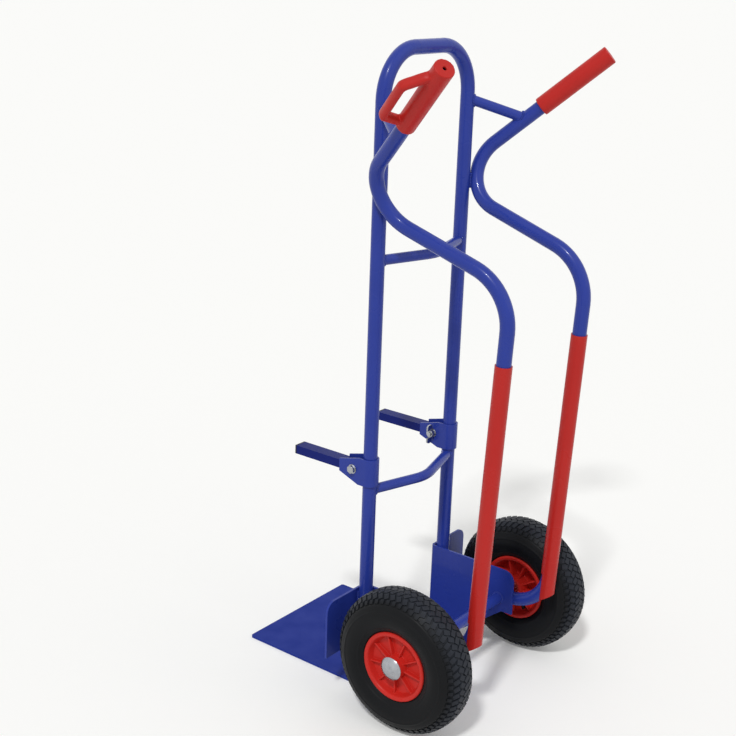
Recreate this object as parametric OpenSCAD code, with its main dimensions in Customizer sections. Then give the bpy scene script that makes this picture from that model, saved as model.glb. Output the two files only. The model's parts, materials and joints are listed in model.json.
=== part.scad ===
// Stacking chair trolley: bent tube frame, slide rails, toe plate, two air wheels and two clamp arms.
// Millimetres, +Z up, toe plate towards -Y, origin on the floor midway between the uprights.

/* [Frame tubes] */
// Outside diameter of the main tube
tube_od = 25; // [20:0.5:32]
// Wall of the main tube
tube_wall = 2; // [1:0.25:4]
// Half the distance between the upright centres
upright_half = 122.5; // [90:0.5:180]
// Height of the hoop centreline
hoop_z = 1142.5; // [900:0.5:1300]
// Bend radius of the hoop corners
hoop_bend = 82; // [50:1:110]
// Outside diameter of the cross bars and braces
bar_od = 18; // [12:0.5:22]
// Wall of the cross bars and braces
bar_wall = 1.5; // [1:0.25:3]
// Height of the lower cross bar
lower_bar_z = 383; // [250:1:500]
// Height of the upper cross bar
upper_bar_z = 798; // [650:1:880]
// Rearward reach of the corner of the cross bars
bar_bow = 36; // [10:1:60]
// Bend radius of the cross bars
bar_bend = 80; // [40:1:150]
// Width of the ring mark at the tube bends
mark_w = 1.2; // [0.8:0.1:2]
// Height of the ring mark at the tube bends
mark_h = 0.1; // [0.05:0.05:0.2]
// Gap left for the weld at coped tube ends
weld_gap = 0.15; // [0.05:0.05:0.3]

/* [Slide rails and handles] */
// Distance of the rail foot corner behind the axle
rail_foot_reach = 92; // [70:1:110]
// Straight run of the rail foot before its bend
rail_foot_run = 8; // [4:0.5:12]
// Reach of the foot tube behind the axle centre
rail_foot_start = 7; // [4:0.5:10]
// Distance of the upper rail corner behind the axle
rail_top_reach = 121; // [95:1:145]
// Height of the upper rail corner
rail_top_z = 796; // [700:1:850]
// Bend radius of the upper rail corner
rail_top_bend = 95; // [60:1:110]
// Distance of the knee corner outside the upright centre
knee_out = 8.5; // [4:0.5:20]
// Forward position of the knee corner
knee_y = -44; // [-60:0.5:-20]
// Height of the knee corner
knee_z = 899; // [870:1:930]
// Bend radius of the knee
knee_bend = 71; // [60:0.5:85]
// Slack between the middle of the knee bend and the upright
knee_slack = 0.4; // [0.3:0.05:0.8]
// Rise of the handle over the level
handle_pitch = 40.5; // [30:0.5:55]
// Outward turn of the handle
handle_yaw = 25.6; // [10:0.1:35]
// Bare handle tube between the knee bend and the grip
handle_free = 101.8; // [60:0.1:140]
// Height of the brace on the upright
brace_z = 1050; // [1000:1:1056]
// Share of the bare handle tube at which the brace lands
brace_share = 0.676; // [0.4:0.001:0.7]
// Outside diameter of the slide sleeve
sleeve_od = 29; // [27:0.5:34]
// Height of the lower sleeve end over the axle
sleeve_lift = 27; // [20:0.5:60]
// Slant of the lower sleeve end
sleeve_slant = 36; // [0:1:45]
// Height of the upper sleeve end
sleeve_top_z = 671; // [500:1:710]
// Clearance of pushed-on plastic parts
push_gap = 0.1; // [0.05:0.05:0.2]

/* [Grips] */
// Outside diameter of the grip
grip_od = 30; // [29:0.5:36]
// Length of the grip
grip_len = 147; // [110:1:170]
// Thickness of the closed grip end
grip_end_t = 5; // [3:0.5:8]
// Edge radius of the grip end
grip_edge = 4; // [1:0.5:5]
// Diameter of the air hole in the grip end
grip_hole_d = 6.5; // [3:0.5:10]
// Distance of the knuckle bow from the grip axis
bow_reach = 46; // [40:1:60]
// Thickness of the knuckle bow
bow_t = 9; // [6:0.5:12]
// Width of the knuckle bow
bow_w = 16; // [10:0.5:20]
// Place of the bend in the knuckle bow along the grip
bow_elbow = 98; // [80:1:115]
// Place of the lower corner of the knuckle bow along the grip
bow_low = 17; // [8:0.5:30]
// Inset of the knuckle bow from the grip ends
bow_inset = 4; // [4:0.5:12]
// Turn of the knuckle bow about the grip
bow_turn = -8; // [-25:1:15]

/* [Toe plate and wheel brackets] */
// Thickness of the toe plate
toe_t = 5; // [3:0.5:8]
// Reach of the toe plate past the outside of the uprights
toe_side = 7.5; // [1:0.5:40]
// Reach of the toe plate in front of the uprights
toe_front = 263; // [180:1:300]
// Reach of the toe plate behind the uprights
toe_rear = 16; // [13:0.5:30]
// Corner radius of the toe plate
toe_corner = 4; // [1:0.5:20]
// Sheet thickness of the wheel brackets
sheet_t = 4; // [3:0.5:5]
// Inside bend radius of the wheel brackets
sheet_bend = 3; // [2:0.5:4]
// Height of the wheel bracket over the axle
bracket_rise = 60; // [45:1:90]
// Rear reach of the side plate behind the axle
bracket_rear = 31; // [26:1:40]
// Corner radius of the side plate
bracket_corner = 22; // [8:1:24]
// Depth of the side plate below the axle
bracket_drop = 26; // [22:1:30]
// Length of the side plate foot on the toe plate
bracket_foot = 15; // [13:0.5:40]
// Reach of the wheel guard past the wheel middle
guard_past = 22.5; // [0:0.5:40]
// Depth of the wheel guard below the axle
guard_drop = 48; // [20:1:70]
// Corner radius of the wheel guard
guard_corner = 20; // [8:1:24]

/* [Axle and wheels] */
// Diameter of the wheel
wheel_d = 260; // [240:1:270]
// Room between the tyre and the upright centre
wheel_room = 12; // [8:0.5:24]
// Diameter of the axle
axle_d = 20; // [16:0.5:22]
// Reach of the axle into the axle cap
axle_past = 4.9; // [4:0.1:6.5]
// Edge chamfer of the axle
axle_edge = 1.5; // [0.5:0.25:2]
// Length of the axle spacer
spacer_len = 20.9; // [10:0.1:40]
// Running gap round the axle
run_gap = 0.05; // [0.02:0.01:0.1]
// Side gap between turning and fixed parts
side_gap = 0.3; // [0.2:0.05:0.6]
// Flattening of the tyre section at the crown
crown_cut = 1.4; // [0.5:0.1:3]
// Wall of the tyre
tyre_wall = 7; // [5:0.5:9]
// Width of the tread grooves
groove_w = 4; // [2:0.5:6]
// Depth of the tread grooves
groove_depth = 4; // [2:0.5:5]
// Distance of the tread grooves from the wheel middle
groove_off = 11; // [8:0.5:16]
// Inner edge of the tyre bead
bead_in = 22; // [19:0.5:24]
// Wall of the inner tube
air_wall = 2; // [1:0.25:3]
// Clearance of the tyre and inner tube in their seats
seat_gap = 0.2; // [0.1:0.05:0.3]
// Bead seat radius of the rim
rim_seat = 50.8; // [48:0.1:53]
// Wall of the rim barrel
rim_wall = 4; // [3:0.5:6]
// Radius of the rim flange
rim_flange = 63; // [60:0.5:66]
// Half width of the rim
rim_half = 34; // [32:0.5:36]
// Thickness of the rim flange
rim_flange_t = 4; // [3:0.5:5]
// Distance of the rim web from the wheel middle
web_off = 4; // [2:0.5:5]
// Thickness of the rim web
web_t = 5; // [3:0.5:5.5]
// Number of rim ribs
rib_count = 9; // [6:1:12]
// Thickness of the rim ribs
rib_t = 4; // [2.5:0.5:6]
// Height of the rim ribs over the web
rib_depth = 17; // [8:0.5:20]
// Radius of the hub
hub_r = 20; // [18:0.5:23]
// Half length of the hub
hub_half = 37; // [35.5:0.5:37]
// Radius of the bearing bush
bush_r = 14; // [12.5:0.5:15]
// Length of the bearing bush
bush_len = 16; // [10:0.5:20]
// Clear radius inside the hub
hub_clear = 11.5; // [11.2:0.1:12.2]
// Diameter of the valve stem
valve_d = 7; // [5:0.5:7.5]
// Distance of the valve from the wheel middle
valve_off = 15; // [14:0.5:16]
// Inner end of the valve stem
valve_tip = 29; // [26:0.5:34]
// Outside radius of the axle spacer
spacer_r = 15; // [13:0.5:18]
// Outside radius of the axle washer
washer_r = 17; // [14:0.5:19]
// Thickness of the axle washer
washer_t = 2; // [1:0.25:2.25]
// Radius of the axle cap
cap_r = 21; // [18:0.5:24]
// Height of the axle cap dome
cap_h = 9; // [8:0.5:12]
// Sheet thickness of the axle cap
cap_t = 1.2; // [0.8:0.1:1.5]
// Depth of the axle cap collar
cap_collar = 3; // [2:0.25:3.5]

/* [Clamp arms] */
// Sliding gap between strap and upright
strap_gap = 0.3; // [0.2:0.05:0.5]
// Sheet thickness of the strap
strap_t = 3; // [2:0.25:4]
// Height of the lower strap edge
strap_low_z = 394; // [394:1:420]
// Height of the strap
strap_h = 50; // [46:1:56]
// Reach of the strap ears in front of the upright centre
ear_len = 57; // [48:1:70]
// Drop of the upper ear edge at the tip
ear_drop = 11; // [4:0.5:13]
// Rise of the lower ear edge at the tip
ear_rise = 16; // [2:0.5:20]
// Straight part of the ears in front of the upright centre
ear_flat = 15; // [13:0.5:20]
// Gap between the arm tube and the strap ears
arm_gap = 0.3; // [0.1:0.05:0.5]
// Height of the arm tube
arm_h = 16; // [14:0.5:24]
// Wall of the arm tube
arm_wall = 2; // [1.5:0.25:3]
// Height of the arm centre over the lower strap edge
arm_rise = 27; // [24:0.5:30]
// Rear end of the arm in front of the upright centre
arm_back = 14.5; // [13.5:0.5:17]
// Tip of the arm in front of the upright centre
arm_tip = 160; // [120:1:200]
// Thickness of the arm plug rim
plug_rim = 3; // [2:0.5:5]
// Depth of the arm plug
plug_depth = 14; // [8:1:20]
// Wall of the arm plug
plug_wall = 2; // [1.5:0.25:3]
// Bolt diameter
bolt_d = 8; // [6:0.5:9]
// Bolt position in front of the upright centre
bolt_fore = 27; // [25:0.5:40]
// Clearance of the bolt hole
bolt_gap = 0.25; // [0.1:0.05:0.5]
// Width across flats of the bolt head
bolt_flats = 13; // [12:0.5:17]
// Height of the bolt head
bolt_head = 5.5; // [4:0.25:7]
// Bolt length past the wing nut
bolt_past = 3; // [1:0.5:6]
// Outside diameter of the bolt washers
bolt_washer_d = 17; // [15:0.5:20]
// Thickness of the bolt washers
bolt_washer_t = 1.6; // [1:0.1:2.5]
// Diameter of the wing nut boss
nut_d = 14; // [13:0.5:17]
// Height of the wing nut boss
nut_h = 9; // [7:0.5:12]
// Span of the wing nut
wing_span = 36; // [28:1:44]
// Thickness of the nut wings
wing_t = 3; // [2:0.25:4]
// Height of the nut wings
wing_h = 15; // [10:0.5:18]
// Height of the wing roots over the nut seat
wing_lift = 2; // [1:0.5:3]
// Corner radius of the nut wings
wing_corner = 5; // [3:0.5:5]

/* [Hidden] */
$fn = 64;
// Overrun of every cut past the face it opens
cut = 1;
blue = [0.18, 0.25, 0.62];
red = [0.76, 0.17, 0.16];
rim_red = [0.84, 0.21, 0.18];
black = [0.08, 0.08, 0.08];
zinc = [0.75, 0.76, 0.78];
// Hairline inside a ring mark between a run and its bend
bend_hair = 0.02;
tube_r = tube_od / 2;
tube_id = tube_od - 2 * tube_wall;
bar_id = bar_od - 2 * bar_wall;
axle_z = wheel_d / 2;
axle_y = wheel_room + wheel_d / 2;
axle_r = axle_d / 2;
tyre_ring = (wheel_d / 2 + rim_seat) / 2;
tyre_section = (wheel_d / 2 - rim_seat) / 2 + crown_cut;
bar_turn = atan2(bar_bow, upright_half);
bar_run = norm([upright_half, bar_bow]) - bar_bend * tan(bar_turn);
rail_foot_y = axle_y + rail_foot_reach;
rail_top_y = axle_y + rail_top_reach;
rail_start = [upright_half, axle_y + rail_foot_start, axle_z];
rail_foot = [upright_half, rail_foot_y, axle_z];
rail_top = [upright_half, rail_top_y, rail_top_z];
handle_dir = [cos(handle_pitch) * sin(handle_yaw), cos(handle_pitch) * cos(handle_yaw), sin(handle_pitch)];
// The knee is drawn at its named place, then set against the upright
knee_first = [upright_half + knee_out, knee_y, knee_z];
first_fore = unit(knee_first - rail_top);
first_half = acos(first_fore * handle_dir) / 2;
knee_middle = knee_first + unit(handle_dir - first_fore) * (knee_bend / cos(first_half) - knee_bend);
knee_side = [knee_middle.x - upright_half, knee_middle.y, 0];
knee = knee_first + unit(knee_side) * (tube_od + weld_gap + knee_slack - norm(knee_side));
fore_dir = unit(knee - rail_top);
knee_turn = turn_of(fore_dir, handle_dir);
knee_run = knee_bend * tan(knee_turn / 2);
handle_end = knee + handle_dir * (knee_run + handle_free + grip_len);
tube_end = handle_end - handle_dir * (grip_end_t + push_gap);
grip_start = handle_end - handle_dir * grip_len;
brace_top = [upright_half, 0, brace_z];
brace_foot = knee + handle_dir * (knee_run + handle_free * brace_share);
side_dir = unit(cross(handle_dir, [0, 0, 1]));
lift_dir = cross(handle_dir, side_dir);
bow_dir = side_dir * cos(bow_turn) + lift_dir * sin(bow_turn);
rail_dir = unit(rail_top - rail_foot);
rail_lean = atan2(rail_dir.y, rail_dir.z);
foot_turn = turn_of([0, 1, 0], rail_dir);
top_turn = turn_of(rail_dir, fore_dir);
top_roll = roll_of([0, 1, 0], rail_dir, fore_dir);
knee_roll = roll_of(rail_dir, fore_dir, handle_dir);
rail_foot_bend = (rail_foot_reach - rail_foot_start - rail_foot_run) / tan(foot_turn / 2);
foot_back = rail_foot_bend * tan(foot_turn / 2);
slide_run = norm(rail_top - rail_foot) - foot_back - rail_top_bend * tan(top_turn / 2);
fore_run = norm(knee - rail_top) - rail_top_bend * tan(top_turn / 2) - knee_run;
handle_run = norm(tube_end - knee) - knee_run;
hoop_side = hoop_z - hoop_bend - toe_t;
hoop_span = 2 * (upright_half - hoop_bend);
toe_half = upright_half + tube_r + toe_side;
bracket_z = axle_z + bracket_rise;
guard_low_z = axle_z - guard_drop;
sleeve_low_z = axle_z + sleeve_lift;
plate_out = upright_half - tube_r - weld_gap;
plate_in = plate_out - sheet_t;
guard_back = -tube_r - weld_gap;
guard_front = guard_back - sheet_t;
bend_out = sheet_bend + sheet_t;
bracket_back = axle_y + bracket_rear;
bracket_low = axle_z - bracket_drop;
spacer_in = upright_half + tube_r + side_gap;
hub_in = spacer_in + spacer_len + side_gap;
wheel_x = hub_in + hub_half;
hub_out = wheel_x + hub_half;
guard_x = wheel_x + guard_past;
cap_base = hub_out + side_gap + washer_t + side_gap;
axle_half = cap_base + axle_past;
cap_sphere = (cap_r * cap_r + cap_h * cap_h) / (2 * cap_h);
strap_id = tube_od + 2 * strap_gap;
strap_od = strap_id + 2 * strap_t;
arm_z = strap_low_z + arm_rise;
arm_w = strap_id - 2 * arm_gap;
bolt_seat = strap_od / 2 + bolt_washer_t;
rib_step = 360 / rib_count;
air_r = tyre_section - tyre_wall - seat_gap;

function unit(v) = v / norm(v);
function across(a, b) = unit(b - a * (a * b));
function turn_of(a, b) = acos(a * b);
function roll_of(a, b, c) = atan2(across(b, c) * cross(a, across(a, b)), -across(b, c) * across(b, a));

// Ring section of a tube
module ring(od, id) {
  difference() {
    circle(d = od);
    circle(d = id);
  }
}

// Straight tube between two points
module straight(a, b, od, id) {
  v = b - a;
  translate(a)
    rotate([0, acos(v.z / norm(v)), atan2(v.y, v.x)])
      linear_extrude(norm(v))
        ring(od, id);
}

// Solid rod between two points, for coping cuts
module rod(a, b, d) {
  v = b - a;
  translate(a)
    rotate([0, acos(v.z / norm(v)), atan2(v.y, v.x)])
      cylinder(d = d, h = norm(v));
}

module mirrored() {
  mirror([1, 0, 0])
    children();
}

// Cylinder along X from x0 to x1 on the axle line
module axle_ring(x0, x1, r, bore) {
  translate([x0, axle_y, axle_z])
    rotate([0, 90, 0])
      difference() {
        cylinder(r = r, h = x1 - x0);
        translate([0, 0, -cut])
          cylinder(r = bore, h = x1 - x0 + 2 * cut);
      }
}

module main_hoop() {
  color(blue)
    translate([-upright_half, 0, toe_t])
      turned(hoop_side, 0, hoop_bend, 90, tube_od, tube_id)
        turned(hoop_span, 0, hoop_bend, 90, tube_od, tube_id)
          translate([0, 0, bend_hair])
            linear_extrude(hoop_side - bend_hair)
              ring(tube_od, tube_id);
}

// Bar between the uprights with one bend in the middle, coped to them
module cross_bar(z) {
  s = sin(bar_turn);
  c = cos(bar_turn);
  color(blue)
    difference() {
      multmatrix([[-s, 0, -c, upright_half], [-c, 0, s, 0], [0, 1, 0, z], [0, 0, 0, 1]])
        turned(bar_run, 0, bar_bend, 2 * bar_turn, bar_od, bar_id)
          translate([0, 0, bend_hair])
            linear_extrude(bar_run - bend_hair)
              ring(bar_od, bar_id);
      for (side = [-1, 1])
        translate([side * upright_half, 0, z - bar_od])
          cylinder(r = tube_r + weld_gap, h = 2 * bar_od);
    }
}

module upper_cross_bar() {
  cross_bar(upper_bar_z);
}

module lower_cross_bar() {
  cross_bar(lower_bar_z);
}

module toe_plate() {
  inner_half = toe_half - toe_corner;
  color(blue)
    linear_extrude(toe_t)
      union() {
        translate([-toe_half, -toe_front + toe_corner])
          square([2 * toe_half, toe_front + toe_rear - toe_corner]);
        translate([-inner_half, -toe_front])
          square([2 * inner_half, toe_corner]);
        for (s = [-1, 1])
          translate([s * inner_half, -toe_front + toe_corner])
            circle(r = toe_corner);
      }
}

module axle() {
  core = axle_half - axle_edge;
  tip = axle_r - axle_edge;
  color(blue)
    translate([0, axle_y, axle_z])
      rotate([0, 90, 0])
        rotate_extrude()
          polygon([[0, -axle_half], [tip, -axle_half], [axle_r, -core], [axle_r, core],
            [tip, axle_half], [0, axle_half]]);
}

// Narrow raised ring that the bending die leaves where a bend starts or ends
module bend_mark(od, id) {
  linear_extrude(mark_w)
    ring(od + 2 * mark_h, id - 2 * mark_h);
}

// Turn at the end of a run, drawn in the frame of the run, which goes along z and bends towards x
module turned(run, roll, r, turn, od, id) {
  translate([0, 0, bend_hair])
    linear_extrude(run - 2 * bend_hair)
      ring(od, id);
  translate([0, 0, run - mark_w / 2])
    bend_mark(od, id);
  translate([0, 0, run])
    rotate([0, 0, roll]) {
      multmatrix([[-1, 0, 0, r], [0, 0, 1, 0], [0, 1, 0, 0], [0, 0, 0, 1]])
        rotate_extrude(angle = turn)
          translate([r, 0])
            ring(od, id);
      translate([r, 0, 0])
        rotate([0, turn, 0])
          translate([-r, 0, 0]) {
            translate([0, 0, -mark_w / 2])
              bend_mark(od, id);
            children();
          }
    }
}

// One tube from the axle up the slide, forward to the knee and back to the handle
module right_slide_rail() {
  color(blue)
    difference() {
      translate(rail_start)
        multmatrix([[0, 1, 0, 0], [0, 0, 1, 0], [1, 0, 0, 0], [0, 0, 0, 1]])
          turned(rail_foot_run, 0, rail_foot_bend, foot_turn, tube_od, tube_id)
            turned(slide_run, top_roll, rail_top_bend, top_turn, tube_od, tube_id)
              turned(fore_run, knee_roll, knee_bend, knee_turn, tube_od, tube_id)
                translate([0, 0, bend_hair])
                  linear_extrude(handle_run - bend_hair)
                    ring(tube_od, tube_id);
      translate([upright_half - tube_od, axle_y, axle_z])
        rotate([0, 90, 0])
          cylinder(r = axle_r + weld_gap, h = 2 * tube_od);
    }
}

module left_slide_rail() {
  mirrored()
    right_slide_rail();
}

module right_handle_brace() {
  color(blue)
    difference() {
      straight(brace_top, brace_foot, bar_od, bar_id);
      translate([upright_half, 0, brace_z - tube_od])
        cylinder(r = tube_r + weld_gap, h = 2 * tube_od);
      rod(brace_foot - handle_dir * tube_od, brace_foot + handle_dir * tube_od, tube_od + 2 * weld_gap);
    }
}

module left_handle_brace() {
  mirrored()
    right_handle_brace();
}

// Pushed-on sleeve, open in front where the rail foot bends away
module right_slide_sleeve() {
  low = (sleeve_low_z - axle_z) / rail_dir.z;
  top = (sleeve_top_z - axle_z) / rail_dir.z;
  bore = tube_od + 2 * (mark_h + push_gap);
  slot = bore - push_gap;
  color(red)
    translate(rail_foot)
      rotate([-rail_lean, 0, 0])
        difference() {
          translate([0, 0, low - sleeve_od])
            linear_extrude(top - low + sleeve_od)
              ring(sleeve_od, bore);
          translate([-slot / 2, -sleeve_od, low - 2 * sleeve_od])
            cube([slot, sleeve_od, foot_back - low + 2 * sleeve_od]);
          translate([0, 0, low])
            rotate([sleeve_slant, 0, 0])
              translate([-sleeve_od, -2 * sleeve_od, -3 * sleeve_od])
                cube([2 * sleeve_od, 4 * sleeve_od, 3 * sleeve_od]);
        }
}

module left_slide_sleeve() {
  mirrored()
    right_slide_sleeve();
}

// Rectangle with rounded corners, lower left at the origin
module round_rect(x, y, r) {
  union() {
    translate([r, 0])
      square([x - 2 * r, y]);
    translate([0, r])
      square([x, y - 2 * r]);
    for (px = [r, x - r], py = [r, y - r])
      translate([px, py])
        circle(r = r);
  }
}

// Flat outline of the knuckle bow, grip axis along y
module bow_outline() {
  outer = bow_reach + bow_t / 2;
  inner = bow_reach - bow_t / 2;
  top = grip_len - bow_inset;
  slope = (top - bow_elbow) / outer;
  inner_top = top - bow_t * sqrt(1 + slope * slope);
  rise = (bow_low - bow_inset) / outer;
  low = bow_inset + bow_t * sqrt(1 + rise * rise);
  difference() {
    polygon([[0, bow_inset], [outer, bow_low], [outer, bow_elbow], [0, top]]);
    polygon([[-cut, low], [0, low], [inner, low + inner * rise], [inner, inner_top - inner * slope],
      [0, inner_top], [-cut, inner_top]]);
  }
}

// Grip body with a rounded closed end
module grip_body() {
  r = grip_od / 2;
  rotate_extrude()
    union() {
      square([r, grip_len - grip_edge]);
      square([r - grip_edge, grip_len]);
      translate([r - grip_edge, grip_len - grip_edge])
        circle(r = grip_edge);
    }
}

module right_grip() {
  g = handle_dir;
  b = bow_dir;
  n = cross(g, b);
  o = grip_start;
  color(red)
    multmatrix([[b.x, n.x, g.x, o.x], [b.y, n.y, g.y, o.y], [b.z, n.z, g.z, o.z], [0, 0, 0, 1]])
      difference() {
        union() {
          grip_body();
          rotate([90, 0, 0])
            linear_extrude(bow_w, center = true)
              bow_outline();
        }
        translate([0, 0, -cut])
          cylinder(r = tube_r + push_gap, h = grip_len - grip_end_t + cut);
        cylinder(d = grip_hole_d, h = grip_len + cut);
      }
}

module left_grip() {
  mirrored()
    right_grip();
}

// Plan of the bent bracket sheet
module bracket_plan() {
  union() {
    translate([plate_in, guard_front + bend_out])
      square([sheet_t, bracket_back - guard_front - bend_out]);
    translate([plate_in + bend_out, guard_front])
      square([guard_x - plate_in - bend_out, sheet_t]);
    intersection() {
      translate([plate_in + bend_out, guard_front + bend_out])
        ring(2 * bend_out, 2 * sheet_bend);
      translate([plate_in, guard_front])
        square([bend_out, bend_out]);
    }
  }
}

// Side view of the plate that carries the axle, y to the right and z up
module plate_side() {
  top = bracket_z - bracket_corner;
  back = bracket_back - bracket_corner;
  union() {
    polygon([[guard_front, toe_t], [guard_back + bracket_foot + tube_od, toe_t], [back, bracket_low],
      [bracket_back, bracket_low], [bracket_back, top], [back, bracket_z], [guard_front, bracket_z]]);
    translate([back, top])
      circle(r = bracket_corner);
  }
}

// Front view of the wheel guard, x to the right and z up
module guard_front_view() {
  inner = guard_x - guard_corner;
  union() {
    translate([plate_in, toe_t])
      square([toe_half - plate_in, bracket_z - toe_t]);
    translate([plate_in, guard_low_z])
      square([guard_x - plate_in, bracket_z - guard_low_z - guard_corner]);
    translate([plate_in, guard_low_z])
      square([inner - plate_in, bracket_z - guard_low_z]);
    translate([inner, bracket_z - guard_corner])
      circle(r = guard_corner);
  }
}

module right_wheel_bracket() {
  color(blue)
    difference() {
      intersection() {
        translate([0, 0, toe_t])
          linear_extrude(bracket_z - toe_t)
            bracket_plan();
        union() {
          translate([plate_in - cut, 0, 0])
            rotate([90, 0, 90])
              linear_extrude(bend_out + cut)
                plate_side();
          translate([bend_out, guard_back + sheet_bend, 0])
            rotate([90, 0, 0])
              linear_extrude(bend_out + cut)
                translate([-bend_out, 0])
                  guard_front_view();
        }
      }
      translate([plate_in - cut, axle_y, axle_z])
        rotate([0, 90, 0])
          cylinder(r = axle_r + weld_gap, h = sheet_t + 2 * cut);
    }
}

module left_wheel_bracket() {
  mirrored()
    right_wheel_bracket();
}

module right_axle_spacer() {
  color(zinc)
    axle_ring(spacer_in, hub_in - side_gap, spacer_r, axle_r + run_gap);
}

module left_axle_spacer() {
  mirrored()
    right_axle_spacer();
}

module right_axle_washer() {
  color(zinc)
    axle_ring(hub_out + side_gap, hub_out + side_gap + washer_t, washer_r, axle_r + run_gap);
}

module left_axle_washer() {
  mirrored()
    right_axle_washer();
}

// Domed push-on cap with a collar that grips the axle
module right_axle_cap() {
  color(zinc)
    translate([cap_base, axle_y, axle_z])
      rotate([0, 90, 0])
        rotate_extrude()
          union() {
            intersection() {
              difference() {
                translate([0, cap_h - cap_sphere])
                  circle(r = cap_sphere);
                translate([0, cap_h - cap_sphere])
                  circle(r = cap_sphere - cap_t);
              }
              square([cap_r, cap_h]);
            }
            translate([axle_r + run_gap, 0])
              square([cap_t, cap_collar]);
            translate([axle_r + run_gap, 0])
              square([cap_r - cap_t - axle_r - run_gap, cap_t]);
          }
}

module left_axle_cap() {
  mirrored()
    right_axle_cap();
}

// Places a wheel part, axis outward along local z
module at_wheel() {
  translate([wheel_x, axle_y, axle_z])
    rotate([0, 90, 0])
      children();
}

// Half section of the tyre, radius to the right
module tyre_outline() {
  bead_out = rim_half - rim_flange_t - seat_gap;
  bead_low = rim_seat + seat_gap;
  crown = wheel_d / 2;
  difference() {
    intersection() {
      union() {
        translate([tyre_ring, 0])
          circle(r = tyre_section);
        translate([bead_low, -bead_out])
          square([rim_flange - bead_low, 2 * bead_out]);
      }
      translate([bead_low, -tyre_section])
        square([crown - bead_low, 2 * tyre_section]);
    }
    translate([tyre_ring, 0])
      circle(r = tyre_section - tyre_wall);
    translate([bead_low - cut, -bead_in])
      square([tyre_ring - bead_low, 2 * bead_in]);
    for (s = [-1, 1])
      translate([bead_low, s * (bead_out + tyre_section) - tyre_section])
        square([rim_flange + seat_gap - bead_low, 2 * tyre_section]);
    for (s = [-1, 1])
      translate([crown - groove_depth, s * groove_off - groove_w / 2])
        square([groove_depth + cut, groove_w]);
  }
}

module right_tyre() {
  color(black)
    at_wheel()
      rotate_extrude()
        tyre_outline();
}

module left_tyre() {
  mirrored()
    right_tyre();
}

module right_inner_tube() {
  color(black)
    at_wheel()
      rotate_extrude()
        translate([tyre_ring, 0])
          ring(2 * air_r, 2 * (air_r - air_wall));
}

module left_inner_tube() {
  mirrored()
    right_inner_tube();
}

// Half section of one rim half, radius to the right
module rim_outline() {
  barrel_in = rim_seat - rim_wall;
  difference() {
    union() {
      translate([barrel_in, 0])
        square([rim_wall, rim_half]);
      translate([barrel_in, rim_half - rim_flange_t])
        square([rim_flange - barrel_in, rim_flange_t]);
      translate([hub_clear, web_off])
        square([rim_seat - hub_clear, web_t]);
      translate([hub_clear, 0])
        square([hub_r - hub_clear, hub_half]);
    }
    translate([hub_clear - cut, hub_half - bush_len])
      square([bush_r + push_gap - hub_clear + cut, bush_len + cut]);
  }
}

// One rim half with its ribs, mating face at local z = 0
module rim_half_body() {
  barrel_in = rim_seat - rim_wall;
  union() {
    rotate_extrude()
      rim_outline();
    for (i = [0:rib_count - 1])
      rotate([0, 0, i * rib_step])
        translate([hub_r - rim_wall / 2, -rib_t / 2, web_off + web_t / 2])
          cube([barrel_in - hub_r + rim_wall, rib_t, web_t / 2 + rib_depth]);
  }
}

module right_rim_outer_half() {
  color(rim_red)
    at_wheel()
      rim_half_body();
}

module left_rim_outer_half() {
  mirrored()
    right_rim_outer_half();
}

module right_rim_inner_half() {
  color(rim_red)
    at_wheel()
      difference() {
        mirror([0, 0, 1])
          rim_half_body();
        rotate([0, 0, rib_step / 2])
          translate([valve_tip, 0, -valve_off])
            rotate([0, 90, 0])
              cylinder(d = valve_d + 2 * push_gap, h = rim_seat);
      }
}

module left_rim_inner_half() {
  mirrored()
    right_rim_inner_half();
}

// Two plain bushes pushed into the hub ends
module right_hub_bushes() {
  color(zinc)
    at_wheel()
      for (s = [0, 1])
        mirror([0, 0, s])
          translate([0, 0, hub_half - bush_len])
            difference() {
              cylinder(r = bush_r, h = bush_len);
              translate([0, 0, -cut])
                cylinder(r = axle_r + run_gap, h = bush_len + 2 * cut);
            }
}

module left_hub_bushes() {
  mirrored()
    right_hub_bushes();
}

// Valve stem from the inner tube through the rim barrel
module right_valve() {
  color(black)
    at_wheel()
      difference() {
        rotate([0, 0, rib_step / 2])
          translate([valve_tip, 0, -valve_off])
            rotate([0, 90, 0])
              cylinder(d = valve_d, h = tyre_ring - valve_tip - air_r / 2);
        rotate_extrude()
          translate([tyre_ring, 0])
            circle(r = air_r + push_gap);
      }
}

module left_valve() {
  mirrored()
    right_valve();
}

// Side view of the strap and its ears, y to the right and z up
module strap_side() {
  top = strap_low_z + strap_h;
  polygon([[-ear_len, strap_low_z + ear_rise], [-ear_flat, strap_low_z], [strap_od, strap_low_z],
    [strap_od, top], [-ear_flat, top], [-ear_len, top - ear_drop]]);
}

// Bolt hole line of the clamp, along X
module bolt_line(d, x0, x1) {
  translate([upright_half + x0, -bolt_fore, arm_z])
    rotate([0, 90, 0])
      cylinder(d = d, h = x1 - x0);
}

module right_strap() {
  color(blue)
    difference() {
      intersection() {
        translate([upright_half, 0, strap_low_z])
          linear_extrude(strap_h)
            difference() {
              union() {
                circle(d = strap_od);
                translate([-strap_od / 2, -ear_len])
                  square([strap_od, ear_len]);
              }
              circle(d = strap_id);
              translate([-strap_id / 2, -ear_len - cut])
                square([strap_id, ear_len + cut]);
            }
        translate([upright_half - strap_od, 0, 0])
          rotate([90, 0, 90])
            linear_extrude(2 * strap_od)
              strap_side();
      }
      bolt_line(bolt_d + 2 * bolt_gap, -strap_od, strap_od);
    }
}

module left_strap() {
  mirrored()
    right_strap();
}

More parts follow.
